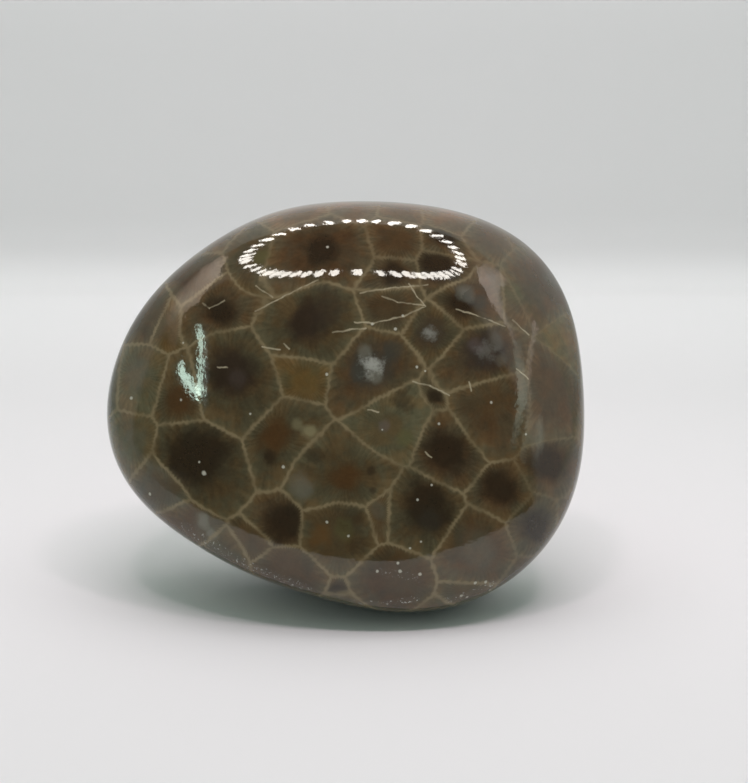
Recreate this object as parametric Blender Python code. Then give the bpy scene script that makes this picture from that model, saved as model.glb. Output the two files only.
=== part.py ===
"""A petoskey stone: one polished pebble of fossil coral, about 60 mm wide.

The pebble is one solid. It is described around a middle point, first upright and
facing forwards: x runs across the broad face, y up the face and z into the stone.
A few broad, shallow domes and a rim meet softly around that point. The stone is
then leant back, as it rests, and worn flat where it touches the table.
World axes: X across, Y to the back, Z up, in metres.
"""
import math

import bmesh
import bpy
import numpy as np

MM = 0.001

# How the stone rests
LEAN = math.radians(15.0)
FOOT_BELOW_MIDDLE = 24.6 * MM

# Outline of the broad face: half-widths in mm, every 15 degrees from +x towards +y
RIM_HALF_WIDTHS = [
    29.9, 30.4, 31.1, 30.4, 28.3, 26.6, 25.8, 25.9,
    26.3, 26.8, 28.1, 29.2, 30.1, 29.5, 27.3, 25.1,
    24.0, 23.7, 24.6, 26.4, 28.5, 29.8, 30.6, 30.3,
]
RIM_WAVES = 9
RIM_HALF_DEPTH = 27.0 * MM
RIM_SQUARENESS = 3.0

# Broad worn faces: middle point in mm (across, up, in), the way it faces, the radii
# in mm that it bends to across, above and below its middle, and how crisply it meets
# the rest of the stone
WORN_FACES = {
    "front": ((1.0, 0.0, -14.5), (0.02, 0.0, -1.0), (85.0, 170.0, 230.0), 15),
    "back": ((3.0, 0.0, 18.0), (0.12, 0.0, 1.0), (65.0, 65.0, 65.0), 8),
    "top shoulder": ((0.8, 13.7, -13.2), (0.0, 0.31, -0.95), (38.0, 18.0, 52.0), 24),
    "right shoulder": ((22.5, 15.0, -4.6), (0.66, 0.46, -0.595), (60.0, 34.0, 60.0), 40),
}

# Mesh: squares along each edge of the cube that is blown up into the pebble
SQUARES_PER_SIDE = 28
FIT_STEP_DEGREES = 3
FIT_TILT_DEGREES = 70
FIT_ROUNDS = 6
FIT_WAVES = 24

# Finish of the polished stone
STONE_COLOUR = (0.058, 0.040, 0.021, 1.0)
STONE_ROUGHNESS = 0.12


def wave_series(values, waves):
    """Smooth closed curve through evenly spaced values: a function of the angle."""
    terms = np.fft.rfft(values) / len(values)
    terms[1:] *= 2
    terms = terms[:waves + 1]

    def value_at(angle):
        turns = np.multiply.outer(angle, np.arange(len(terms)))
        return np.real(np.exp(1j * turns) @ terms)
    return value_at


def reach_to_face(directions, middle_mm, faces_toward, bends_mm):
    """Distance from the stone's middle to a shallow dome, along each direction."""
    normal = np.array(faces_toward) / np.linalg.norm(faces_toward)
    across = np.cross(normal, (0.0, 1.0, 0.0))
    across /= np.linalg.norm(across)
    along = np.cross(across, normal)
    middle = np.array(middle_mm) * MM
    bend_across, bend_above, bend_below = (bend * MM for bend in bends_mm)
    side_step = directions @ across
    up_step = directions @ along
    middle_side = middle @ across
    middle_up = middle @ along

    def reach(bend_along):
        curve = side_step ** 2 / (2 * bend_across) + up_step ** 2 / (2 * bend_along)
        slope = (directions @ normal - side_step * middle_side / bend_across
                 - up_step * middle_up / bend_along)
        height = (middle @ normal - middle_side ** 2 / (2 * bend_across)
                  - middle_up ** 2 / (2 * bend_along))
        root = np.sqrt(slope ** 2 + 4 * curve * height)
        return 2 * height / np.maximum(slope + root, 1e-6)

    above = reach(bend_above)
    below = reach(bend_below)
    return np.where(above * up_step > middle_up, above, below)


def reach_to_rim(directions, half_width_at):
    """Distance from the middle to the rounded rim, along each direction."""
    half_width = half_width_at(np.arctan2(directions[..., 1], directions[..., 0]))
    sideways = np.hypot(directions[..., 0], directions[..., 1]) ** RIM_SQUARENESS
    inwards = (np.abs(directions[..., 2]) * half_width / RIM_HALF_DEPTH) ** RIM_SQUARENESS
    return half_width / (sideways + inwards) ** (1 / RIM_SQUARENESS)


def reach_to_surface(directions, half_width_at):
    """The rim and the worn faces, each met softly by the next."""
    reach = reach_to_rim(directions, half_width_at)
    for middle_mm, faces_toward, bends_mm, crispness in WORN_FACES.values():
        face = reach_to_face(directions, middle_mm, faces_toward, bends_mm)
        reach = reach / (1 + (reach / face) ** crispness) ** (1 / crispness)
    return reach


def fitted_half_widths():
    """Rim curve for which the finished stone keeps the outline above."""
    outline = wave_series(np.array(RIM_HALF_WIDTHS) * MM, RIM_WAVES)
    turns = np.radians(np.arange(0, 360, FIT_STEP_DEGREES))
    tilts = np.radians(np.arange(-FIT_TILT_DEGREES, FIT_TILT_DEGREES + 1))
    turn, tilt = np.meshgrid(turns, tilts, indexing="ij")
    directions = np.stack([
        np.cos(turn) * np.cos(tilt), np.sin(turn) * np.cos(tilt), np.sin(tilt)], axis=-1)
    wanted = outline(turns)
    widths = wanted
    for _ in range(FIT_ROUNDS):
        surface = reach_to_surface(directions, wave_series(widths, FIT_WAVES))
        widths = widths * wanted / (surface * np.cos(tilt)).max(axis=1)
    return wave_series(widths, FIT_WAVES)


def cube_directions(bm):
    """Unit vectors through an even grid on a cube, spread so that squares stay alike."""
    bmesh.ops.create_cube(bm, size=2.0)
    bmesh.ops.subdivide_edges(
        bm, edges=bm.edges[:], cuts=SQUARES_PER_SIDE - 1, use_grid_fill=True)
    corners = np.array([vert.co[:] for vert in bm.verts])
    spread = np.tan(corners * math.pi / 4)
    return spread / np.linalg.norm(spread, axis=1, keepdims=True)


def lean_back(points):
    """Turn the upright stone into the world, with its face leant back."""
    across, up, inward = points.T
    return np.stack([
        across,
        up * math.sin(LEAN) + inward * math.cos(LEAN),
        up * math.cos(LEAN) - inward * math.sin(LEAN)], axis=1)


def pebble_mesh():
    """The pebble, with its flat foot at z = 0 and its box centred on X and Y."""
    bm = bmesh.new()
    upright = cube_directions(bm)
    reach = reach_to_surface(upright, fitted_half_widths())
    world = lean_back(upright)
    downward = np.maximum(-world[:, 2], 1e-6)
    worn_flat = FOOT_BELOW_MIDDLE / downward < reach
    points = world * np.minimum(reach, FOOT_BELOW_MIDDLE / downward)[:, None]
    points[:, 2] += FOOT_BELOW_MIDDLE
    points[worn_flat, 2] = 0.0
    box_middle = (points.max(axis=0) + points.min(axis=0)) / 2
    points[:, :2] -= box_middle[:2]
    for vert, point in zip(bm.verts, points):
        vert.co = point
    bm.normal_update()
    bmesh.ops.recalc_face_normals(bm, faces=bm.faces[:])
    mesh = bpy.data.meshes.new("petoskey_stone")
    bm.to_mesh(mesh)
    bm.free()
    mesh.shade_smooth()
    return mesh


def polished_stone():
    material = bpy.data.materials.new("polished_stone")
    material.use_nodes = True
    shader = material.node_tree.nodes["Principled BSDF"]
    shader.inputs["Base Color"].default_value = STONE_COLOUR
    shader.inputs["Roughness"].default_value = STONE_ROUGHNESS
    shader.inputs["Metallic"].default_value = 0.0
    return material


def main():
    for old in list(bpy.data.objects):
        bpy.data.objects.remove(old, do_unlink=True)
    stone = bpy.data.objects.new("petoskey_stone", pebble_mesh())
    stone.data.materials.append(polished_stone())
    bpy.context.collection.objects.link(stone)


if __name__ == "__main__":
    main()
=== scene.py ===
"""A polished petoskey stone on a white table, lit by a ring of small lamps.

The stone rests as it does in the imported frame: X across its broad face, Y to the back
and Z up, in metres, with the table at Z = 0.
"""
import math

import bmesh
import bpy
import numpy as np
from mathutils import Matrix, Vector


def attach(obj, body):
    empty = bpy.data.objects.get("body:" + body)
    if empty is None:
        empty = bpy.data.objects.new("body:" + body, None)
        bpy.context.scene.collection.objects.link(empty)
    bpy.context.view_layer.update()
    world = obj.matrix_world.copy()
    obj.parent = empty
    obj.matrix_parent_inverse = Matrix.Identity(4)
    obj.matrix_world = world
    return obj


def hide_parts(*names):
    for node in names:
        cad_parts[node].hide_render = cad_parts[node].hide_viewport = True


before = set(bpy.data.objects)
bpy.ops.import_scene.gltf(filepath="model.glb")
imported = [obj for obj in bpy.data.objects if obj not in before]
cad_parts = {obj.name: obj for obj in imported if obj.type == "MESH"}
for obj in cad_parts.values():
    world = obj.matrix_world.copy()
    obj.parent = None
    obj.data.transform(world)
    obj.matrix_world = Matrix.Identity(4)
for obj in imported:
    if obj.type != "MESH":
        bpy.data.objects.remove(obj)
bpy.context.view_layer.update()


# The pebble's skin.
# One pebble of fossil coral, ground and tumbled to a high polish, with no edges left.
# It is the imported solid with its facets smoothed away.

MM = 0.001
STONE_MIDDLE = Vector((0.00009, -0.00096, 0.0246))
LEAN = math.radians(15.0)
ACROSS = np.array((1.0, 0.0, 0.0))
UP_THE_FACE = np.array((0.0, math.sin(LEAN), math.cos(LEAN)))
INTO_THE_STONE = np.array((0.0, math.cos(LEAN), -math.sin(LEAN)))


def tree_node(tree, kind, settings=None, values=None, output=0):
    """Any node: its settings first, then a value or a link for each socket it names."""
    node = tree.nodes.new(kind)
    for name, setting in (settings or {}).items():
        setattr(node, name, setting)
    for name, value in (values or {}).items():
        socket = node.inputs[name]
        if isinstance(value, Wire):
            tree.links.new(value.socket, socket)
        elif isinstance(value, bpy.types.NodeSocket):
            tree.links.new(value, socket)
        else:
            socket.default_value = value
    return Wire(tree, node.outputs[output])


class Wire:
    """A value in a node tree, for use in sums that add its Math nodes."""

    def __init__(self, tree, socket):
        self.tree = tree
        self.socket = socket

    def math(self, operation, *others):
        values = dict(enumerate((self, *others)))
        return tree_node(self.tree, "ShaderNodeMath", {"operation": operation}, values)

    def __add__(self, other):
        return self.math("ADD", other)

    __radd__ = __add__

    def __mul__(self, other):
        return self.math("MULTIPLY", other)

    __rmul__ = __mul__

    def __sub__(self, other):
        return self.math("SUBTRACT", other)

    def __rsub__(self, other):
        return (self * -1.0).math("ADD", other)

    def __truediv__(self, other):
        return self.math("DIVIDE", other)

    def __lt__(self, other):
        return self.math("LESS_THAN", other)

    def __gt__(self, other):
        return self.math("GREATER_THAN", other)

    def ramp(self, start, end):
        """0 before start, 1 after end and a soft climb between them."""
        settings = {"interpolation_type": "SMOOTHSTEP"}
        values = {"Value": self, "From Min": start, "From Max": end}
        return tree_node(self.tree, "ShaderNodeMapRange", settings, values)


def smooth_skin_tree(name, material):
    """Geometry tree that rounds a faceted cage: Subdivide, then Finish."""
    tree = bpy.data.node_groups.new(name, "GeometryNodeTree")
    face = tree.interface
    face.new_socket("Geometry", in_out="INPUT", socket_type="NodeSocketGeometry")
    levels = face.new_socket("Smoothing steps", in_out="INPUT", socket_type="NodeSocketInt")
    face.new_socket("Geometry", in_out="OUTPUT", socket_type="NodeSocketGeometry")
    start = tree.nodes.new("NodeGroupInput")
    end = tree.nodes.new("NodeGroupOutput")
    rounded = tree_node(tree, "GeometryNodeSubdivisionSurface", None,
                        {"Mesh": start.outputs[0], "Level": start.outputs[1]})
    smooth = tree_node(tree, "GeometryNodeSetShadeSmooth", None, {0: rounded})
    joined = tree_node(tree, "GeometryNodeRealizeInstances", None, {0: smooth})
    made = tree_node(tree, "GeometryNodeSetMaterial", None,
                     {"Geometry": joined, "Material": material})
    tree.links.new(made.socket, end.inputs[0])
    return tree, levels.identifier


stone_material = bpy.data.materials.new("polished fossil coral")
stone_material.use_nodes = True

cage = bpy.data.meshes.new("petoskey_stone_cage")
bm = bmesh.new()
bm.from_mesh(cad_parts["petoskey_stone"].data)
bmesh.ops.remove_doubles(bm, verts=bm.verts[:], dist=1e-6)
bmesh.ops.join_triangles(
    bm, faces=bm.faces[:], angle_face_threshold=math.radians(60),
    angle_shape_threshold=math.radians(60))
bm.to_mesh(cage)
bm.free()
cage_object = bpy.data.objects.new("petoskey_stone_cage", cage)
bpy.context.scene.collection.objects.link(cage_object)
smooth_tree, steps_socket = smooth_skin_tree("smooth polished skin", stone_material)
smoothing = cage_object.modifiers.new("smooth polished skin", "NODES")
smoothing.node_group = smooth_tree
smoothing[steps_socket] = 2
evaluated = cage_object.evaluated_get(bpy.context.evaluated_depsgraph_get())
stone = bpy.data.objects.new("polished_stone_skin", bpy.data.meshes.new_from_object(evaluated))
bpy.context.scene.collection.objects.link(stone)
bpy.data.objects.remove(cage_object, do_unlink=True)


# The coral's cells.
# Many-sided tubes of a colonial coral, turned to stone: thin pale walls, fine spokes and a
# soft dark eye where each polyp sat. They are only colour under the smooth polish. Those
# of the broad face are placed one by one and the rest grow by rule.

# Places are in mm from the stone's middle: across the face, then up it

TINTS = {
    "umber": (0.067, 0.042, 0.021),
    "brown": (0.082, 0.053, 0.027),
    "olive": (0.071, 0.053, 0.027),
    "sage": (0.106, 0.088, 0.047),
    "tan": (0.078, 0.056, 0.028),
    "clay": (0.140, 0.088, 0.046),
    "amber": (0.112, 0.072, 0.026),
    "grey": (0.072, 0.060, 0.038),
}
EYE_COLOURS = {
    "plain": (0.070, 0.045, 0.020, 0.35),
    "dark": (0.021, 0.014, 0.008, 0.85),
    "dusk": (0.027, 0.018, 0.012, 0.88),
    "rust": (0.062, 0.028, 0.009, 0.70),
    "honey": (0.125, 0.078, 0.026, 0.40),
    "milk": (0.100, 0.094, 0.068, 0.35),
    "chalk": (0.040, 0.036, 0.028, 0.80),
    "frost": (0.042, 0.031, 0.021, 0.70),
    "lilac": (0.030, 0.023, 0.019, 0.80),
}
CHALK_STRENGTHS = {"chalk": 0.80, "frost": 0.42, "lilac": 0.18}
STAIN_COLOURS = {
    "dark": (0.024, 0.016, 0.009),
    "dusk": (0.036, 0.025, 0.017),
    "slate": (0.044, 0.045, 0.036),
    "mist": (0.170, 0.165, 0.130),
    "cream": (0.230, 0.200, 0.110),
    "lilac": (0.130, 0.105, 0.100),
    "moss": (0.090, 0.088, 0.035),
    "rust": (0.125, 0.058, 0.016),
}

# Each cell: its place, how far it pushes its walls out in square mm, the place of its eye,
# the eye's radius, the eye and the tint
FRONT_CELLS = [
    (-10.5, 19.2, -5.7, -10.2, 18.4, 1.6, "plain", "olive"),
    (-3.6, 18.5, 27.2, -2.8, 19.1, 2.4, "dark", "umber"),
    (5.5, 20.1, -9.8, 6.3, 20.4, 1.8, "plain", "umber"),
    (12.9, 19.7, -12.1, 12.4, 21.0, 1.8, "dark", "umber"),
    (5.0, 14.9, -1.9, 5.7, 16.4, 1.8, "dark", "umber"),
    (12.7, 16.1, -5.7, 11.3, 17.6, 2.6, "dark", "umber"),
    (14.6, 13.5, -1.2, 14.2, 12.6, 1.8, "dark", "umber"),
    (-15.9, 11.9, 2.3, -15.3, 11.4, 2.2, "dark", "brown"),
    (-4.3, 9.9, 27.6, -4.7, 10.4, 2.7, "dusk", "olive"),
    (5.2, 12.9, -0.2, 5.2, 12.2, 1.4, "plain", "umber"),
    (10.8, 8.9, -3.2, 10.3, 8.9, 2.1, "frost", "tan"),
    (16.6, 3.4, 22.1, 17.2, 6.8, 2.9, "lilac", "brown"),
    (-24.9, 3.6, -7.5, -25.6, 3.9, 2.0, "milk", "sage"),
    (-18.7, 1.7, 3.3, -20.2, 1.0, 2.0, "rust", "tan"),
    (-13.2, 3.1, 28.0, -13.8, 4.2, 3.3, "dusk", "olive"),
    (-5.2, 5.0, 10.8, -4.8, 2.7, 1.8, "honey", "amber"),
    (3.1, 3.4, 21.9, 3.3, 4.9, 3.0, "chalk", "brown"),
    (17.4, 0.5, 28.7, 17.6, 0.8, 2.4, "plain", "brown"),
    (-26.4, -4.7, -14.4, -26.1, -4.2, 1.8, "milk", "sage"),
    (-17.9, -6.5, 13.7, -18.2, -6.3, 4.4, "dark", "olive"),
    (-6.7, -3.3, 12.3, -8.4, -3.7, 2.2, "rust", "olive"),
    (5.3, -1.1, 21.5, 4.7, -2.2, 2.2, "plain", "sage"),
    (11.6, 0.5, -2.9, 11.0, 1.4, 1.0, "dark", "brown"),
    (12.3, -4.1, 11.6, 12.2, -5.5, 2.9, "dark", "brown"),
    (19.0, -9.8, -13.8, 18.8, -9.9, 2.3, "dark", "brown"),
    (-0.5, -8.1, 26.9, 0.2, -8.6, 1.9, "rust", "olive"),
    (-7.1, -14.3, -11.2, -7.6, -14.0, 2.8, "dark", "brown"),
    (-0.5, -14.0, 12.8, -0.9, -15.7, 2.4, "plain", "olive"),
    (3.2, -12.8, 1.3, 4.0, -12.5, 1.0, "milk", "brown"),
    (8.5, -13.0, 6.7, 10.1, -12.3, 3.2, "dark", "olive"),
    (15.2, -17.4, -3.2, 16.2, -17.5, 2.4, "milk", "brown"),
    (-21.5, -9.6, -2.5, -21.7, -10.0, 1.8, "plain", "grey"),
    (-20.0, -14.0, -7.7, -17.0, -14.4, 1.8, "milk", "umber"),
    (-9.7, -16.6, -20.0, -11.6, -16.0, 2.2, "plain", "umber"),
    (-6.9, -20.5, -5.6, -6.9, -19.3, 2.4, "plain", "umber"),
    (5.6, -20.4, -0.6, 6.7, -20.5, 2.4, "plain", "umber"),
    (14.5, -23.0, -18.9, 14.6, -22.8, 1.6, "plain", "olive"),
    (-0.8, -22.8, -27.4, -0.9, -22.6, 1.4, "dark", "brown"),
    (23.6, -14.1, -17.1, 23.5, -14.8, 2.2, "dark", "olive"),
    (25.9, -6.6, -4.5, 24.9, -6.8, 2.6, "dark", "brown"),
    (25.0, 0.7, 13.3, 25.4, 2.6, 2.6, "plain", "brown"),
    (21.0, 13.3, -22.8, 22.8, 13.8, 2.0, "plain", "brown"),
    (17.3, 21.3, -9.7, 19.9, 20.5, 2.4, "plain", "brown"),
    (-18.1, 15.2, -5.8, -18.3, 16.6, 1.8, "plain", "umber"),
    (-24.3, 11.2, -10.7, -24.3, 11.7, 1.8, "plain", "umber"),
    (-22.1, 10.3, -12.2, -21.6, 9.6, 1.4, "plain", "amber"),
    (-5.6, 23.8, 3.3, -5.7, 23.7, 1.6, "plain", "clay"),
    (-0.4, 24.6, -6.5, 0.8, 23.9, 1.6, "plain", "clay"),
    (6.4, 23.8, -20.5, 7.0, 23.8, 1.6, "plain", "clay"),
    (13.9, 23.3, -9.7, 13.6, 22.6, 1.6, "plain", "clay"),
]

# Where walls bend: place, reach in mm, and the shift across and up
WALL_NUDGES = [
    (-9.3, 12.3, 2.6, -0.78, 0.7),
    (-2.2, 14.9, 2.6, 0.69, -1.0),
    (-12.2, 14.9, 2.6, 1.15, 0.59),
    (19.4, 17.8, 2.6, -0.11, -0.96),
    (-11.0, -11.0, 2.6, -0.2, 0.77),
    (14.9, 15.9, 2.6, -0.11, 0.62),
    (9.3, 2.2, 2.6, 0.75, 0.48),
    (12.4, -0.3, 2.6, -0.76, -0.06),
    (-16.5, 8.4, 2.6, -0.96, -0.79),
    (21.7, -5.0, 2.6, 0.6, 0.38),
    (22.6, 1.5, 4.0, -0.48, -0.02),
    (-20.1, 8.5, 2.6, 0.6, 0.54),
    (3.7, 17.6, 2.6, -0.51, 0.3),
    (-15.2, -13.7, 2.6, 0.6, 0.43),
    (-19.6, -10.3, 2.6, -0.06, -0.55),
    (-0.5, -11.6, 2.6, 0.19, -0.55),
    (-10.0, 7.5, 4.0, 0.37, 0.11),
    (27.0, 10.4, 2.6, 0.2, -0.57),
    (7.9, -7.4, 2.6, -0.4, -0.3),
    (-5.7, -5.9, 2.6, 0.37, -0.28),
    (-7.6, 13.4, 2.6, -1.07, 0.7),
    (-20.6, 13.7, 2.6, -0.39, -0.21),
    (10.8, 5.4, 2.6, -0.51, -0.27),
    (14.1, 20.7, 2.6, 0.45, 0.05),
    (-5.2, -12.5, 2.6, -0.53, 0.29),
    (1.4, -3.7, 4.0, -0.13, 0.4),
]

HEALED_CRACKS = [
    (-10.9, 14.7, -8.8, 13.3),
    (-10.9, 11.6, -7.6, 13.3),
    (-7.6, 13.3, -3.3, 15.4),
    (1.2, 10.2, 3.5, 10.1),
    (3.5, 10.1, 7.2, 11.0),
    (7.2, 11.0, 9.8, 12.2),
    (-1.5, 9.0, 2.5, 9.5),
    (4.5, 13.4, 6.3, 12.7),
    (6.3, 12.7, 9.6, 12.3),
    (7.8, 14.9, 8.7, 13.4),
    (8.7, 13.4, 9.7, 12.3),
    (13.6, 11.8, 15.2, 11.4),
    (15.2, 11.4, 19.6, 9.8),
    (20.5, 10.6, 22.5, 8.8),
    (-10.1, 7.2, -7.9, 6.9),
    (-7.4, 7.6, -6.8, 7.0),
    (-17.5, 12.6, -16.6, 12.0),
    (-16.6, 12.0, -14.8, 12.9),
    (-15.5, 4.8, -14.3, 4.7),
    (8.2, 3.0, 10.3, 2.5),
    (10.3, 2.5, 12.6, 1.4),
    (21.0, 4.6, 22.4, 3.4),
    (2.8, -0.4, 4.1, -0.7),
    (15.1, 3.0, 15.3, 1.9),
    (1.9, 13.8, 4.8, 14.3),
    (4.8, 14.3, 10.1, 14.8),
    (9.7, -5.5, 10.4, -6.2),
]

# Each speck: place and radius
SPECKS = [
    (8.7, 4.8, 0.24),
    (-11.5, -0.9, 0.2),
    (-26.5, 1.0, 0.3),
    (-2.2, 3.9, 0.24),
    (-7.5, -7.3, 0.26),
    (6.1, 9.4, 0.26),
    (3.3, 10.0, 0.22),
    (7.0, 11.0, 0.22),
    (-17.2, -8.1, 0.38),
    (3.9, -20.0, 0.26),
    (6.7, -20.0, 0.3),
    (6.4, -19.0, 0.24),
    (9.1, -20.4, 0.28),
    (-24.1, -10.8, 0.26),
    (9.7, 4.3, 0.18),
    (17.8, 0.5, 0.24),
    (-2.2, 19.5, 0.26),
    (11.4, -2.1, 0.22),
    (8.8, -11.3, 0.2),
    (-2.2, -14.0, 0.22),
    (0.4, -15.7, 0.22),
    (15.9, -21.6, 0.26),
    (14.2, -23.2, 0.26),
    (17.2, -21.5, 0.28),
    (14.9, -23.4, 0.24),
    (17.8, -22.6, 0.26),
    (22.1, -3.4, 0.2),
    (-20.1, 0.8, 0.22),
    (-17.8, -6.8, 0.2),
    (4.5, -2.8, 0.16),
    (10.5, -9.5, 0.2),
    (7.9, -17.2, 0.2),
    (9.2, -16.4, 0.2),
    (-19.9, 7.8, 0.2),
]

# Each stain: place, radius, colour and strength
STAINS = [
    (-9.1, -6.2, 1.0, "dark", 0.75),
    (-4.2, -3.1, 1.1, "cream", 0.6),
    (-5.7, -2.2, 0.9, "cream", 0.35),
    (3.3, -7.7, 0.7, "dark", 0.6),
    (3.4, -10.2, 0.6, "dark", 0.6),
    (-5.4, -9.7, 1.8, "mist", 0.35),
    (7.2, 1.1, 2.1, "dark", 0.60),
    (4.7, -2.2, 0.9, "lilac", 0.35),
    (7.3, -3.7, 1.3, "moss", 0.5),
    (-3.0, -15.6, 1.8, "rust", 0.45),
    (-0.0, -15.0, 1.5, "moss", 0.4),
    (1.8, -16.9, 1.4, "dark", 0.3),
    (-1.8, 11.7, 2.6, "dusk", 0.5),
    (-17.1, -13.9, 1.2, "mist", 0.6),
    (-16.1, -15.4, 1.0, "mist", 0.6),
    (2.5, 6.8, 1.0, "mist", 0.45),
    (3.8, 3.5, 1.0, "mist", 0.5),
    (1.6, 4.2, 1.3, "slate", 0.6),
    (5.7, 6.8, 1.6, "slate", 0.5),
    (15.9, 7.5, 1.2, "lilac", 0.26),
    (18.4, 8.1, 1.3, "mist", 0.24),
    (18.9, 5.7, 1.0, "mist", 0.22),
    (14.6, 14.2, 1.6, "slate", 0.5),
    (-10.2, 18.4, 1.3, "moss", 0.5),
    (-3.6, -5.9, 1.3, "dark", 0.45),
    (0.8, -13.7, 2.0, "dark", 0.35),
    (10.3, -13.8, 1.8, "slate", 0.2),
    (-13.0, 3.5, 1.4, "lilac", 0.12),
    (-15.7, 3.8, 1.6, "dark", 0.5),
    (-5.5, 10.2, 1.2, "dark", 0.35),
    (13.1, 16.1, 1.2, "slate", 0.3),
    (14.8, 14.0, 1.5, "mist", 0.40),
    (16.5, 13.0, 1.4, "slate", 0.45),
    (20.6, 14.0, 2.0, "moss", 0.35),
]

# Each row of frosty pits: both ends, its half-width and its strength
FROST_ROWS = [
    (-19.7, -14.8, -15.9, -17.1, 1.1, 0.8),
    (-15.9, -17.1, -10.1, -20.2, 1.0, 0.9),
    (-10.1, -20.2, -4.9, -22.1, 1.1, 0.9),
    (1.2, -23.9, 8.5, -23.6, 0.7, 1.0),
    (12.6, -23.7, 18.2, -21.7, 0.8, 1.0),
    (4.2, -20.1, 9.1, -20.9, 0.7, 0.3),
]

GROWTH_SQUEEZE = 0.55
CELL_SPACING = 8.8
NEAREST_CELLS = 5
NEAREST_MARKS = 2
GROWTH_SEED = 7


def face_place(points):
    """Points of the skin in mm from the stone's middle: across, into the stone and up."""
    from_middle = np.asarray(points) / MM - np.array(STONE_MIDDLE) / MM
    return np.stack([from_middle @ ACROSS, from_middle @ INTO_THE_STONE,
                     from_middle @ UP_THE_FACE], axis=-1)


def on_the_face(across, up):
    """The place on the skin straight in front of a place on the broad face."""
    start = np.array(STONE_MIDDLE) + (ACROSS * across + UP_THE_FACE * up) * MM
    start = start - INTO_THE_STONE * 0.1
    hit, point, _, _ = stone.ray_cast(Vector(start), Vector(INTO_THE_STONE))
    if not hit:
        raise ValueError(f"no skin at {across}, {up}")
    return face_place(np.array(point))


def store(name, kind, domain, values):
    """A named attribute of the skin, one value for each corner point or face."""
    attribute = stone.data.attributes.new(name, kind, domain)
    field = {"FLOAT_VECTOR": "vector", "FLOAT_COLOR": "color"}[kind]
    attribute.data.foreach_set(field, np.asarray(values, np.float32).ravel())


face_count = len(stone.data.polygons)
flat = np.zeros(face_count * 3)
stone.data.polygons.foreach_get("center", flat)
face_centres = face_place(flat.reshape(-1, 3))
flat = np.zeros(len(stone.data.vertices) * 3)
stone.data.vertices.foreach_get("co", flat)
skin_points = face_place(flat.reshape(-1, 3))

shift = np.zeros((len(skin_points), 3))
face_shift = np.zeros((face_count, 3))
for across, up, bend_reach, shift_across, shift_up in WALL_NUDGES:
    for places, total in ((skin_points, shift), (face_centres, face_shift)):
        away = (places[:, 0] - across) ** 2 + (places[:, 2] - up) ** 2
        share = np.exp(-away / bend_reach ** 2) * (places[:, 1] < 0)
        total[:, 0] += share * shift_across
        total[:, 2] += share * shift_up
store("nudge", "FLOAT_VECTOR", "POINT", shift)

squeeze = np.array((1.0, GROWTH_SQUEEZE, 1.0))
cell_places = (face_centres + face_shift) * squeeze
sites = [on_the_face(row[0], row[1]) * squeeze for row in FRONT_CELLS]
eyes = [on_the_face(row[3], row[4]) for row in FRONT_CELLS]
pushes = [row[2] for row in FRONT_CELLS]
eye_sizes = [row[5] for row in FRONT_CELLS]
eye_names = [row[6] for row in FRONT_CELLS]
tint_names = [row[7] for row in FRONT_CELLS]
placed = len(sites)

chance = np.random.default_rng(GROWTH_SEED)
for pick in chance.permutation(face_count):
    spot = cell_places[pick]
    if min(np.sum((np.array(sites) - spot) ** 2, axis=1)) > (CELL_SPACING * 0.85) ** 2:
        sites.append(spot)
sites = np.array(sites)
pushes = np.array(pushes + list(chance.uniform(-7, 7, len(sites) - placed)))
for _ in range(4):
    claims = ((cell_places[:, None, :] - sites[None]) ** 2).sum(-1) - pushes
    owner = np.argmin(claims, axis=1)
    for cell in range(placed, len(sites)):
        if np.any(owner == cell):
            sites[cell] = cell_places[owner == cell].mean(axis=0)
for cell in range(placed, len(sites)):
    eyes.append(sites[cell] / squeeze + chance.uniform(-0.5, 0.5, 3))
    eye_sizes.append(chance.uniform(1.7, 2.9))
    eye_names.append(chance.choice(["dark", "dark", "dusk", "plain", "chalk", "milk", "rust"]))
    tint_names.append(chance.choice(["brown", "umber", "olive", "brown", "grey", "amber"]))
eyes = np.array(eyes)
tints = np.array([(*TINTS[name], push) for name, push in zip(tint_names, pushes)])
eye_looks = np.array([EYE_COLOURS[name] for name in eye_names])
eye_sorts = np.array([
    (size, CHALK_STRENGTHS.get(name, 0.0), index * 0.37 % 1.0)
    for index, (size, name) in enumerate(zip(eye_sizes, eye_names))], float)

claims = ((cell_places[:, None, :] - sites[None]) ** 2).sum(-1) - pushes
nearest = np.argsort(claims, axis=1)[:, :NEAREST_CELLS]
for rank in range(NEAREST_CELLS):
    cell = nearest[:, rank]
    store(f"site_{rank}", "FLOAT_VECTOR", "FACE", sites[cell])
    store(f"tint_{rank}", "FLOAT_COLOR", "FACE", tints[cell])
    store(f"eye_{rank}", "FLOAT_VECTOR", "FACE", eyes[cell])
    store(f"eye_look_{rank}", "FLOAT_COLOR", "FACE", eye_looks[cell])
    store(f"eye_sort_{rank}", "FLOAT_VECTOR", "FACE", eye_sorts[cell])

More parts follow.
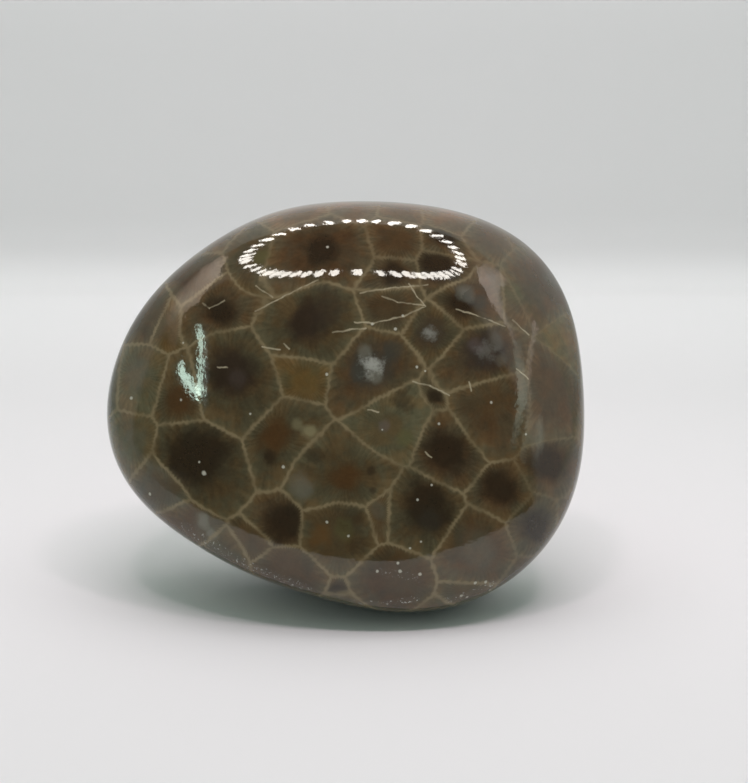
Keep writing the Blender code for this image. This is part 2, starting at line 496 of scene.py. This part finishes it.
crack_starts = np.array([on_the_face(row[0], row[1]) for row in HEALED_CRACKS])
crack_ends = np.array([on_the_face(row[2], row[3]) for row in HEALED_CRACKS])
crack_runs = crack_ends - crack_starts
from_start = face_centres[:, None, :] - crack_starts[None]
along = np.clip((from_start * crack_runs).sum(-1) / (crack_runs ** 2).sum(-1), 0, 1)
crack_gaps = np.linalg.norm(from_start - along[..., None] * crack_runs, axis=-1)
speck_places = np.array([on_the_face(row[0], row[1]) for row in SPECKS])
speck_sizes = np.array([(row[2], 0.0, 0.0) for row in SPECKS])
speck_gaps = np.linalg.norm(face_centres[:, None, :] - speck_places[None], axis=-1)
stain_places = np.array([on_the_face(row[0], row[1]) for row in STAINS])
stain_looks = np.array([(*STAIN_COLOURS[row[3]], row[4]) for row in STAINS])
stain_sizes = np.array([(row[2], 0.0, 0.0) for row in STAINS])
stain_gaps = np.linalg.norm(face_centres[:, None, :] - stain_places[None], axis=-1)
stain_gaps = stain_gaps / stain_sizes[:, 0]
for rank in range(NEAREST_MARKS):
    crack = np.argsort(crack_gaps, axis=1)[:, rank]
    store(f"crack_start_{rank}", "FLOAT_VECTOR", "FACE", crack_starts[crack])
    store(f"crack_run_{rank}", "FLOAT_VECTOR", "FACE", crack_runs[crack])
    stain = np.argsort(stain_gaps, axis=1)[:, rank]
    store(f"stain_{rank}", "FLOAT_VECTOR", "FACE", stain_places[stain])
    store(f"stain_look_{rank}", "FLOAT_COLOR", "FACE", stain_looks[stain])
    store(f"stain_size_{rank}", "FLOAT_VECTOR", "FACE", stain_sizes[stain])
speck = np.argmin(speck_gaps, axis=1)
store("speck", "FLOAT_VECTOR", "FACE", speck_places[speck])
store("speck_size", "FLOAT_VECTOR", "FACE", speck_sizes[speck])
frost_starts = np.array([on_the_face(row[0], row[1]) for row in FROST_ROWS])
frost_runs = np.array([on_the_face(row[2], row[3]) for row in FROST_ROWS]) - frost_starts
frost_widths = [row[4] for row in FROST_ROWS]
frost_strengths = [row[5] for row in FROST_ROWS]


def stored(tree, name, output=1):
    """A stored attribute: output 0 is its colour, 1 its vector and 3 its fourth number."""
    return tree_node(tree, "ShaderNodeAttribute", {"attribute_name": name}, None, output)


def vector_sum(a, operation, b=None, output=0):
    values = {0: a} if b is None else {0: a, 1: b}
    return tree_node(a.tree, "ShaderNodeVectorMath", {"operation": operation}, values, output)


def scaled(vector, factor):
    return tree_node(vector.tree, "ShaderNodeVectorMath", {"operation": "SCALE"},
                     {0: vector, "Scale": factor})


def blend_vectors(factor, a, b):
    return tree_node(factor.tree, "ShaderNodeMix", {"data_type": "VECTOR"},
                     {0: factor, 4: a, 5: b}, 1)


def blend_colours(factor, a, b):
    return tree_node(factor.tree, "ShaderNodeMix", {"data_type": "RGBA"},
                     {0: factor, 6: a, 7: b}, 2)


def blend_values(factor, a, b):
    return tree_node(factor.tree, "ShaderNodeMix", {"data_type": "FLOAT"},
                     {0: factor, 2: a, 3: b}, 0)


def parts_of(vector):
    node = tree_node(vector.tree, "ShaderNodeSeparateXYZ", None, {0: vector}).socket.node
    return [Wire(vector.tree, socket) for socket in node.outputs]


def fixed(tree, vector):
    return tree_node(tree, "ShaderNodeCombineXYZ", None, dict(enumerate(map(float, vector))))


def gap_to_run(place, start, run):
    """Distance from a place to the straight run that leaves a start."""
    from_start = vector_sum(place, "SUBTRACT", start)
    reach = (vector_sum(from_start, "DOT_PRODUCT", run, 1)
             / vector_sum(run, "DOT_PRODUCT", run, 1))
    reach = reach.math("MAXIMUM", 0.0).math("MINIMUM", 1.0)
    return vector_sum(from_start, "DISTANCE", scaled(run, reach), 1)


def cloud(place, scale, detail=2.0, roughness=0.5, output=0):
    values = {"Vector": place, "Scale": scale, "Detail": detail, "Roughness": roughness}
    return tree_node(place.tree, "ShaderNodeTexNoise", None, values, output)


def coral_surface(tree):
    """Colour of the polished coral, and the faint ripple that tumbling leaves in it."""
    coordinates = tree_node(tree, "ShaderNodeTexCoord", None, None, 3)
    from_middle = vector_sum(coordinates, "SUBTRACT", tuple(STONE_MIDDLE))
    place = tree_node(tree, "ShaderNodeMapping", None, {
        "Vector": scaled(from_middle, 1 / MM), "Rotation": (LEAN, 0.0, 0.0)})
    shiver = vector_sum(cloud(place, 1.1, 1.0, 0.5, 1), "SUBTRACT", (0.5, 0.5, 0.5))
    sway = vector_sum(cloud(place, 0.22, 1.0, 0.5, 1), "SUBTRACT", (0.5, 0.5, 0.5))
    bent = vector_sum(place, "ADD", stored(tree, "nudge"))
    bent = vector_sum(bent, "ADD", scaled(shiver, 0.38))
    bent = vector_sum(bent, "ADD", scaled(sway, 0.50))
    in_cells = vector_sum(bent, "MULTIPLY", tuple(squeeze))

    spots = [stored(tree, f"site_{rank}") for rank in range(NEAREST_CELLS)]
    claims = []
    for rank, spot in enumerate(spots):
        away = vector_sum(in_cells, "SUBTRACT", spot)
        claims.append(vector_sum(away, "DOT_PRODUCT", away, 1) - stored(tree, f"tint_{rank}", 3))
    least = claims[0]
    home = spots[0]
    tint = stored(tree, "tint_0", 0)
    eye = stored(tree, "eye_0")
    eye_look = stored(tree, "eye_look_0", 0)
    eye_depth = stored(tree, "eye_look_0", 3)
    eye_sort = stored(tree, "eye_sort_0")
    for rank in range(1, NEAREST_CELLS):
        nearer = claims[rank] < least
        home = blend_vectors(nearer, home, spots[rank])
        tint = blend_colours(nearer, tint, stored(tree, f"tint_{rank}", 0))
        eye = blend_vectors(nearer, eye, stored(tree, f"eye_{rank}"))
        eye_look = blend_colours(nearer, eye_look, stored(tree, f"eye_look_{rank}", 0))
        eye_depth = blend_values(nearer, eye_depth, stored(tree, f"eye_look_{rank}", 3))
        eye_sort = blend_vectors(nearer, eye_sort, stored(tree, f"eye_sort_{rank}"))
        least = least.math("MINIMUM", claims[rank])
    wall = None
    for spot, claim in zip(spots, claims):
        gap = vector_sum(home, "DISTANCE", spot, 1)
        step = (claim - least) / (gap.math("MAXIMUM", 0.01) * 2) + (gap < 0.02) * 50
        wall = step if wall is None else wall.math("MINIMUM", step)

    eye_size, has_chalk, cell_share = parts_of(eye_sort)
    outward = vector_sum(eye, "NORMALIZE")
    side = vector_sum(vector_sum(outward, "CROSS_PRODUCT", (0.0, 0.1, 1.0)), "NORMALIZE")
    rise = vector_sum(side, "CROSS_PRODUCT", outward)
    from_eye = vector_sum(bent, "SUBTRACT", eye)
    sideways = vector_sum(from_eye, "DOT_PRODUCT", side, 1)
    upwards = vector_sum(from_eye, "DOT_PRODUCT", rise, 1)
    radius = (sideways * sideways + upwards * upwards).math("SQRT")
    turn = upwards.math("ARCTAN2", sideways)
    spokes = ((turn + cell_share * 6.0) * 36).math("SINE")
    short_spokes = ((turn + cell_share * 6.0) * 72).math("SINE")

    grain = cloud(place, 2.6, 3.0, 0.6)
    mottle = cloud(place, 0.75, 3.0, 0.6)
    drift = cloud(place, 0.18, 2.0, 0.5)
    wall_strength = cloud(place, 0.35, 2.0).ramp(0.30, 0.62)

    crenel = wall - spokes * 0.05 - (grain - 0.5) * 0.12
    far_right, _, far_up = parts_of(place)
    rim_fade = (1 - far_right.ramp(17.5, 21.5) * 0.7) * (1 - far_up.ramp(15.5, 18.0) * 0.5)
    wall_line = (1 - crenel.ramp(0.02, 0.36)) * (0.34 + wall_strength * 0.46) * rim_fade
    wall_halo = 1 - wall.ramp(0.0, 0.75)
    shoulder = 1 - wall.ramp(0.2, 2.3)
    share = radius / eye_size
    pupil = 1 - (share + (mottle - 0.5) * 0.5).ramp(0.45, 1.25)
    bowl = 1 - share.ramp(0.9, 2.3)
    chalk_patch = (1 - (share + (mottle - 0.5) * 0.9 + (grain - 0.5) * 0.6).ramp(0.0, 0.60)) \
        * has_chalk

    spoke_mark = (spokes * (0.03 + shoulder * 0.05) + short_spokes * shoulder * 0.04) \
        * (0.3 + cloud(place, 0.6, 2.0).ramp(0.35, 0.65) * 1.1)
    shade = (1 + (mottle - 0.5) * 0.8 + (grain - 0.5) * 0.35 + (drift - 0.5) * 0.6) \
        * (1 + spoke_mark)
    warmth = cloud(place, 0.42, 2.0, 0.6).ramp(0.35, 0.65)
    colour = blend_colours(shoulder * 0.5, tint, (0.103, 0.080, 0.042, 1.0))
    colour = vector_sum(colour, "MULTIPLY", blend_colours(
        warmth, (0.90, 1.0, 1.06, 1.0), (1.10, 0.98, 0.88, 1.0)))
    colour = scaled(colour, shade * (1 - bowl * 0.18))
    colour = blend_colours(pupil * eye_depth, colour, scaled(eye_look, 0.75 + grain * 0.5))
    colour = blend_colours(chalk_patch, colour, (0.34, 0.34, 0.30, 1.0))
    for rank in range(NEAREST_MARKS):
        away = vector_sum(vector_sum(bent, "SUBTRACT", stored(tree, f"stain_{rank}")), "LENGTH",
                          None, 1)
        size = parts_of(stored(tree, f"stain_size_{rank}"))[0]
        spread = 1 - (away / size + (mottle - 0.5) * 0.9).ramp(0.35, 1.15)
        strength = spread * stored(tree, f"stain_look_{rank}", 3)
        colour = blend_colours(strength, colour, stored(tree, f"stain_look_{rank}", 0))
    colour = blend_colours(wall_halo * 0.22 * rim_fade, colour, (0.135, 0.105, 0.054, 1.0))
    colour = blend_colours(wall_line, colour, (0.200, 0.155, 0.087, 1.0))
    for rank in range(NEAREST_MARKS):
        gap = gap_to_run(vector_sum(place, "ADD", scaled(shiver, 0.3)),
                         stored(tree, f"crack_start_{rank}"), stored(tree, f"crack_run_{rank}"))
        line = (1 - (gap + (grain - 0.5) * 0.12).ramp(0.03, 0.16)) * (0.35 + wall_strength * 0.45)
        colour = blend_colours(line, colour, (0.36, 0.31, 0.21, 1.0))
    speck_size = parts_of(stored(tree, "speck_size"))[0]
    speck_gap = vector_sum(place, "DISTANCE", stored(tree, "speck"), 1)
    dot = 1 - (speck_gap / speck_size + (grain - 0.5) * 0.9).ramp(0.4, 1.0)
    colour = blend_colours(dot * 0.7, colour, (0.50, 0.48, 0.40, 1.0))
    pits = cloud(place, 2.4, 3.0, 0.75).ramp(0.58, 0.67)
    for start, run, width, strength in zip(
            frost_starts, frost_runs, frost_widths, frost_strengths):
        gap = gap_to_run(place, fixed(tree, start), fixed(tree, run))
        frost = 1 - (gap / width + (mottle - 0.5) * 0.8).ramp(0.3, 1.0)
        colour = blend_colours(frost * (0.03 + pits * 0.90) * strength, colour,
                               (0.46, 0.45, 0.42, 1.0))
    ripple = tree_node(tree, "ShaderNodeBump", None, {
        "Distance": 0.000012, "Height": cloud(place, 0.9, 2.0, 0.6)})
    return colour, ripple


stone_tree = stone_material.node_tree
stone_shader = stone_tree.nodes["Principled BSDF"]
stone_shader.inputs["Roughness"].default_value = 0.05
stone_shader.inputs["IOR"].default_value = 1.56
stone_colour, stone_ripple = coral_surface(stone_tree)
stone_tree.links.new(stone_colour.socket, stone_shader.inputs["Base Color"])
stone_tree.links.new(stone_ripple.socket, stone_shader.inputs["Normal"])

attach(stone, "root")
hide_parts("petoskey_stone")


# The table and its backdrop.
# A sheet of white card that lies flat under the stone and turns up behind it, with painted
# shade and painted light in soft bands across it. It is clear from its back and from below,
# so that the stone can be seen from every side.

TABLE_FRONT = -0.095
TABLE_BACK = 0.165
TABLE_HALF_WIDTH = 1.00
CARD_BEND = 0.012
CARD_HEIGHT = 0.40

card_profile = [(TABLE_FRONT, 0.0), (TABLE_BACK, 0.0)]
for step in range(1, 9):
    turn = math.radians(90 * step / 8)
    card_profile.append((TABLE_BACK + CARD_BEND * math.sin(turn),
                         CARD_BEND * (1 - math.cos(turn))))
card_profile.append((TABLE_BACK + CARD_BEND, CARD_HEIGHT))
card_mesh = bpy.data.meshes.new("white_card")
card_points = [(side * TABLE_HALF_WIDTH, y, z) for y, z in card_profile for side in (-1, 1)]
card_faces = [(2 * i, 2 * i + 1, 2 * i + 3, 2 * i + 2) for i in range(len(card_profile) - 1)]
card_mesh.from_pydata(card_points, [], card_faces)
card_mesh.shade_smooth()
card = bpy.data.objects.new("white_card", card_mesh)
bpy.context.scene.collection.objects.link(card)
card_material = bpy.data.materials.new("white card")
card_material.use_nodes = True
card_tree = card_material.node_tree
card_shader = card_tree.nodes["Principled BSDF"]
card_place = parts_of(tree_node(card_tree, "ShaderNodeTexCoord", None, None, 3))
# Painted shade and painted light: the card's white is darker at the front of the table, through
# the bend and up the backdrop, and lighter at the back of the table and high on the backdrop.
# These bands stand for how the lamps fall on the card.
card_white_and_painted_light = 0.73 + card_place[1].ramp(-0.08, 0.03) * 0.06 + card_place[1].ramp(0.09, 0.17) * 0.13
card_white_and_painted_light = card_white_and_painted_light - card_place[1].ramp(0.160, 0.176) * 0.10
card_white_and_painted_light = card_white_and_painted_light - card_place[2].ramp(0.000, 0.007) * 0.13
card_white_and_painted_light = card_white_and_painted_light + card_place[2].ramp(0.04, 0.10) * 0.20
card_colour = scaled(tree_node(card_tree, "ShaderNodeCombineXYZ", None, {
    0: 1.0, 1: 1.0, 2: 1.0}), card_white_and_painted_light)
card_tree.links.new(card_colour.socket, card_shader.inputs["Base Color"])
card_back = tree_node(card_tree, "ShaderNodeNewGeometry", None, None, 6)
card_tree.links.new((1 - card_back).socket, card_shader.inputs["Alpha"])
card_shader.inputs["Roughness"].default_value = 0.9
card_shader.inputs["Specular IOR Level"].default_value = 0.1
card_mesh.materials.append(card_material)


# The ring of lamps.
# Small oval lamps on a hoop above the table, which the polish shows as a row of beads. The
# light they throw comes from one soft oval, and three lamps in front give the shadow.

LAMP_COUNT = 44
LAMP_GLOW = 18.0
FRONT_LAMP_SIZE = (0.0105, 0.021)
BACK_LAMP_SIZE = (0.0075, 0.016)
BEAD_COLOUR = (1.0, 0.95, 0.88)
HOOP_MIDDLE = (0.007, 0.009, 0.210)
HOOP_HALF_WIDTH = 0.117
HOOP_HALF_DEPTH = 0.084
HOOP_FRONT_SQUARENESS = 2.6
HOOP_BACK_SQUARENESS = 1.7
LAMP_COLOUR = (1.0, 0.82, 0.91)
# Each soft lamp: its place, its size across and along, and its power in watts
SOFT_LAMPS = [
    (HOOP_MIDDLE, (0.242, 0.168), 0.15),
    ((-0.073, -0.230, 0.48), (0.055, 0.055), 0.30),
    ((0.150, -0.230, 0.48), (0.055, 0.055), 0.26),
    ((0.045, -0.235, 0.48), (0.240, 0.070), 0.46),
]


def aim(lamp, location):
    """Put a lamp in its place and turn it to the stone."""
    lamp.location = location
    away = Vector(location) - Vector((0.0, 0.0, 0.03))
    lamp.rotation_euler = away.to_track_quat("Z", "Y").to_euler()
    bpy.context.scene.collection.objects.link(lamp)


def oval_lamp(name, size, power, colour):
    data = bpy.data.lights.new(name, "AREA")
    data.shape = "ELLIPSE"
    data.size, data.size_y = size
    data.energy = power
    data.color = colour
    return data


bead_lamps = {}
for name, size in (("front ring lamp", FRONT_LAMP_SIZE), ("back ring lamp", BACK_LAMP_SIZE)):
    power = LAMP_GLOW * math.pi * math.pi / 4 * size[0] * size[1]
    bead_lamps[name] = oval_lamp(name, size, power, BEAD_COLOUR)
for count in range(LAMP_COUNT):
    turn = 2 * math.pi * count / LAMP_COUNT
    in_front = math.sin(turn) < -0.5
    squareness = HOOP_FRONT_SQUARENESS if math.sin(turn) < 0 else HOOP_BACK_SQUARENESS
    across = math.copysign(abs(math.cos(turn)) ** (2 / squareness), math.cos(turn))
    depth = math.copysign(abs(math.sin(turn)) ** (2 / squareness), math.sin(turn))
    bead_lamp = bpy.data.objects.new(
        f"ring_lamp_{count + 1}", bead_lamps["front ring lamp" if in_front else "back ring lamp"])
    bead_lamp.visible_diffuse = False
    aim(bead_lamp, (HOOP_MIDDLE[0] + HOOP_HALF_WIDTH * across,
                    HOOP_MIDDLE[1] + HOOP_HALF_DEPTH * depth, HOOP_MIDDLE[2]))
for count, (location, size, power) in enumerate(SOFT_LAMPS):
    soft_lamp = bpy.data.objects.new(
        f"soft_lamp_{count + 1}", oval_lamp(f"soft lamp {count + 1}", size, power, LAMP_COLOUR))
    soft_lamp.visible_glossy = False
    aim(soft_lamp, location)


# The room's light.
# Even light from all round, and what the polish shows of the room: pale walls at the
# sides, a dark opening in front and a dark top above the hoop.

ROOM_COLOUR = (0.80, 1.0, 0.90, 1.0)
ROOM_STRENGTH = 0.56
WALL_RADIUS = 1.2

room = bpy.data.worlds.new("soft room light")
room.use_nodes = True
room.node_tree.nodes["Background"].inputs["Color"].default_value = ROOM_COLOUR
room.node_tree.nodes["Background"].inputs["Strength"].default_value = ROOM_STRENGTH
bpy.context.scene.world = room


def glowing_stage(name, mesh, add_to_the_rest):
    """An object that only the polish shows: it takes no part in the light or the view."""
    shown = bpy.data.objects.new(name, mesh)
    bpy.context.scene.collection.objects.link(shown)
    shown.visible_camera = False
    shown.visible_diffuse = False
    shown.visible_shadow = False
    material = bpy.data.materials.new(name.replace("_", " "))
    material.use_nodes = True
    tree = material.node_tree
    tree.nodes.remove(tree.nodes["Principled BSDF"])
    glow = tree_node(tree, "ShaderNodeEmission")
    shader = glow
    if add_to_the_rest:
        clear = tree_node(tree, "ShaderNodeBsdfTransparent")
        shader = tree_node(tree, "ShaderNodeAddShader", None, {0: glow, 1: clear})
    tree.links.new(shader.socket, tree.nodes["Material Output"].inputs[0])
    mesh.materials.append(material)
    return tree, glow.socket.node.inputs["Color"]


tent_mesh = bpy.data.meshes.new("room_walls")
bm = bmesh.new()
bmesh.ops.create_uvsphere(bm, u_segments=64, v_segments=32, radius=WALL_RADIUS)
bmesh.ops.translate(bm, verts=bm.verts[:], vec=STONE_MIDDLE)
bmesh.ops.reverse_faces(bm, faces=bm.faces[:])
bm.to_mesh(tent_mesh)
bm.free()
tent_tree, tent_glow = glowing_stage("room_walls", tent_mesh, False)
tent_x, tent_y, tent_z = parts_of(tree_node(tent_tree, "ShaderNodeTexCoord", None, None, 3))
azimuth = tent_x.math("ARCTAN2", tent_y * -1.0) * (180 / math.pi)
elevation = ((tent_z - STONE_MIDDLE.z) / WALL_RADIUS).math("ARCSINE") * (180 / math.pi)
below_the_top = 1 - elevation.ramp(50.0, 54.0)
left_wall = (1 - azimuth.ramp(-82.0, -77.0)) * below_the_top
right_wall = azimuth.ramp(57.0, 63.0) * below_the_top * (1 - elevation.ramp(34.0, 50.0) * 0.35)
low_left = (1 - azimuth.ramp(-70.0, -48.0)) * (1 - elevation.ramp(-0.5, 2.5)) \
    * azimuth.ramp(-82.0, -77.0)
wall_light = left_wall * 0.40 + right_wall * 0.52 + low_left * 0.40 + 0.02
wall_light = wall_light + (1 - below_the_top) * (1 - elevation.ramp(55.0, 61.0)) * 0.10
tent_colour = scaled(tree_node(tent_tree, "ShaderNodeCombineXYZ", None, {
    0: 1.0, 1: 0.97, 2: 0.95}), wall_light)
tent_tree.links.new(tent_colour.socket, tent_glow)


# The bright places in the room.
# Folds, edges and panes at the sides of the room that the polish shows as soft glows on
# the shoulders and as two greenish windows. Each is a narrow sheet that only glows.

GLOW_RADIUS = 1.15

# Each sheet: its colour, how its glow runs from one side to the other, and its rows from
# end to end: the azimuth and elevation in degrees of both sides, then the glow
ROOM_GLOWS = {
    "left_shoulder_glow": ((1.0, 0.80, 0.64), (0.0, 0.55, 1.0, 1.0), [
        (-124.7, 48.7, -115.3, 53.1, 0.78),
        (-124.3, 46.1, -102.7, 52.6, 2.86),
        (-119.3, 43.3, -88.5, 49.8, 3.12),
        (-112.0, 42.3, -84.8, 46.3, 2.60),
        (-106.7, 40.2, -79.9, 41.9, 2.08),
        (-102.8, 38.4, -75.2, 37.1, 2.21),
        (-102.5, 36.1, -76.0, 34.1, 1.95),
        (-94.8, 33.0, -76.7, 32.0, 1.43),
        (-86.1, 28.5, -75.2, 29.4, 0.91),
        (-79.1, 25.2, -73.4, 26.9, 0.59),
        (-75.0, 23.0, -71.2, 24.4, 0.26),
    ]),
    "right_shoulder_glow": ((1.0, 0.88, 0.80), (0.0, 0.6, 1.0, 1.0), [
        (114.3, 45.3, 102.9, 50.3, 1.2),
        (116.9, 36.1, 87.3, 47.6, 2.6),
        (111.2, 35.5, 82.4, 43.6, 2.2),
        (96.8, 38.5, 76.8, 39.2, 2.2),
        (86.4, 36.1, 74.9, 35.9, 1.8),
        (80.8, 32.6, 73.3, 32.9, 1.2),
        (79.0, 29.8, 73.2, 30.3, 0.9),
        (74.1, 26.9, 70.9, 27.2, 0.5),
    ]),
    "right_edge_glow": ((1.0, 0.82, 0.74), (0.0, 0.4, 1.0, 0.6), [
        (123.6, 21.1, 118.8, 24.7, 0.5),
        (115.4, 23.0, 110.3, 25.6, 1.6),
        (105.6, 23.9, 98.7, 26.3, 1.4),
        (88.6, 24.1, 83.5, 25.2, 1.2),
        (76.4, 21.4, 72.8, 22.1, 1.1),
        (70.6, 18.6, 68.0, 19.0, 0.9),
        (67.3, 15.8, 65.2, 16.1, 0.6),
        (63.7, 13.1, 61.5, 13.3, 0.3),
    ]),
    "right_window": ((0.86, 1.0, 0.84), (0.3, 0.8, 1.0, 1.0), [
        (77.3, 27.1, 72.1, 27.9, 0.57),
        (72.0, 23.5, 65.7, 23.7, 0.92),
        (70.5, 20.6, 63.0, 20.6, 1.38),
        (66.5, 17.2, 59.9, 17.6, 1.61),
        (64.2, 15.5, 58.4, 15.7, 1.72),
        (60.0, 13.0, 55.8, 13.5, 1.49),
        (56.2, 10.4, 52.7, 10.7, 0.92),
        (52.2, 7.6, 49.8, 8.0, 0.34),
    ]),
    "right_low_window": ((0.86, 1.0, 0.84), (0.4, 0.9, 0.35, 0.45, 1.0), [
        (69.4, 11.8, 63.4, 12.7, 0.4),
        (68.8, 10.0, 60.2, 11.0, 0.9),
        (67.5, 7.5, 57.4, 9.0, 1.1),
        (65.9, 5.5, 55.1, 7.3, 0.8),
        (63.4, 3.6, 54.2, 5.0, 0.5),
        (61.0, 2.0, 55.1, 3.1, 0.15),
    ]),
    "left_window_bar": ((0.74, 1.0, 0.86), (0.35, 1.0, 1.0, 0.35), [
        (-66.5, 31.9, -69.1, 31.0, 3.75),
        (-65.3, 30.6, -68.2, 29.9, 10.20),
        (-63.8, 29.6, -66.0, 28.9, 10.20),
        (-61.8, 27.8, -64.0, 27.4, 10.65),
        (-59.0, 24.8, -61.4, 24.3, 10.65),
        (-57.2, 22.2, -59.5, 21.9, 10.65),
        (-55.3, 19.8, -58.3, 19.4, 11.70),
        (-53.8, 18.4, -57.5, 17.8, 12.75),
        (-53.3, 16.9, -55.9, 16.7, 7.65),
    ]),
    "left_window_foot": ((0.74, 1.0, 0.86), (0.4, 1.0, 1.0, 0.4), [
        (-66.8, 23.4, -68.5, 22.7, 2.55),
        (-65.9, 22.1, -68.1, 21.3, 11.40),
        (-64.4, 21.3, -67.0, 20.0, 12.75),
        (-62.0, 20.5, -64.4, 18.9, 12.75),
        (-59.0, 19.5, -61.7, 17.7, 12.75),
        (-56.5, 18.8, -59.0, 17.0, 12.75),
        (-54.2, 18.0, -56.7, 16.5, 7.65),
    ]),
    "left_window_side": ((0.92, 1.0, 0.98), (0.0, 0.5, 1.0, 0.8), [
        (-63.2, 32.1, -65.8, 31.6, 0.2),
        (-60.6, 29.5, -62.9, 28.9, 0.5),
        (-56.6, 25.2, -59.4, 24.8, 0.8),
        (-51.1, 17.9, -53.7, 17.7, 0.7),
        (-49.3, 14.5, -51.6, 14.3, 0.2),
    ]),
}


def toward(azimuth_degrees, elevation_degrees):
    """Unit vector from the stone's middle: azimuth from the front, towards +X."""
    turn, rise = math.radians(azimuth_degrees), math.radians(elevation_degrees)
    return Vector((math.sin(turn) * math.cos(rise), -math.cos(turn) * math.cos(rise),
                   math.sin(rise)))


for glow_name, (colour, across_glow, rows) in ROOM_GLOWS.items():
    glow_points = []
    glow_colours = []
    for far_azimuth, far_elevation, near_azimuth, near_elevation, strength in rows:
        far = toward(far_azimuth, far_elevation)
        near = toward(near_azimuth, near_elevation)
        for step, share in enumerate(across_glow):
            spot = far.lerp(near, step / (len(across_glow) - 1)).normalized()
            glow_points.append(STONE_MIDDLE + spot * GLOW_RADIUS)
            glow_colours.append([part * strength * share for part in colour] + [1.0])
    wide = len(across_glow)
    glow_faces = [(i, i + 1, i + 1 + wide, i + wide)
                  for i in range(len(glow_points) - wide) if i % wide != wide - 1]
    glow_mesh = bpy.data.meshes.new(glow_name)
    glow_mesh.from_pydata(glow_points, [], glow_faces)
    glow_layer = glow_mesh.attributes.new("glow", "FLOAT_COLOR", "POINT")
    glow_layer.data.foreach_set("color", np.array(glow_colours, np.float32).ravel())
    glow_tree, glow_socket = glowing_stage(glow_name, glow_mesh, True)
    glow_tree.links.new(stored(glow_tree, "glow", 0).socket, glow_socket)


# The view.
# A long lens in front of the stone, a little above it and looking down at it.

VIEW_DISTANCE = 0.400
VIEW_WIDTH = 0.09385
VIEW_OFFSET_ACROSS = 0.00351
VIEW_OFFSET_UP = 0.00182

camera_data = bpy.data.cameras.new("view")
camera_data.sensor_width = 36.0
camera_data.sensor_fit = "HORIZONTAL"
camera_data.lens = 36.0 * VIEW_DISTANCE / VIEW_WIDTH
camera = bpy.data.objects.new("view", camera_data)
look_at = STONE_MIDDLE + Vector(ACROSS) * VIEW_OFFSET_ACROSS + Vector(UP_THE_FACE) * VIEW_OFFSET_UP
camera.location = look_at - Vector(INTO_THE_STONE) * VIEW_DISTANCE
camera.rotation_euler = (math.radians(90) - LEAN, 0.0, 0.0)
bpy.context.scene.collection.objects.link(camera)
bpy.context.scene.camera = camera
bpy.context.scene.view_settings.view_transform = "Standard"
